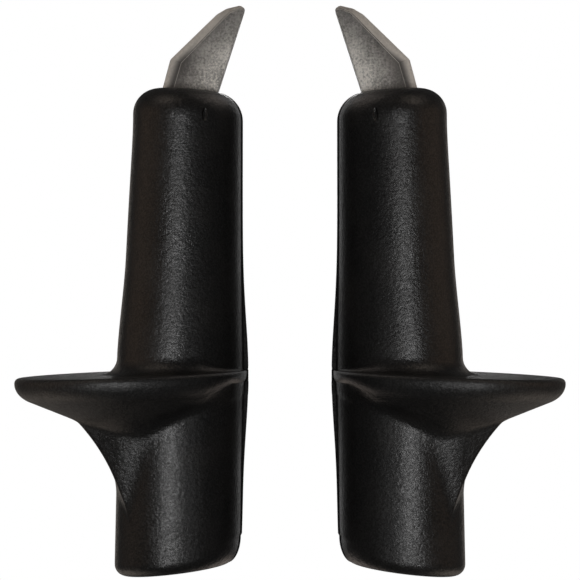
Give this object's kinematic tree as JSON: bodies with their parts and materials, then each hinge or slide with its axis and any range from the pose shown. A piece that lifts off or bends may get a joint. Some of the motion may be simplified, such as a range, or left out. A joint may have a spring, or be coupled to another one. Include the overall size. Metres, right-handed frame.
{
  "type": "ski pole tip ferrule pair",
  "caption": "Pair of black moulded pole tip ferrules with a one-sided round basket, a blind shaft socket and a chisel-shaped carbide blade.",
  "frame": {"origin": "middle of the pair, halfway between the two socket axes, at the height of the lowest point of the mouths", "axes": "+Z along both socket axes towards the blades; +X from the left ferrule to the right one, across their facing fronts; the plane Y = 0 is the plane of symmetry of both ferrules"},
  "size_m": [0.0604, 0.0254, 0.0626],
  "materials": {
    "moulded_nylon": "satin black moulding with a fine leathery grain",
    "sintered_carbide": "granular sintered grey with ground bevels"
  },
  "bodies": {
    "left_ferrule": {"left_ferrule_body": "moulded_nylon", "left_carbide_blade": "sintered_carbide"},
    "right_ferrule": {"right_ferrule_body": "moulded_nylon", "right_carbide_blade": "sintered_carbide"}
  },
  "joints": [
    {"name": "pair_spacing", "type": "slide", "parent": "left_ferrule", "child": "right_ferrule", "axis": [1, 0, 0], "range_m": [0, 0.04]}
  ]
}
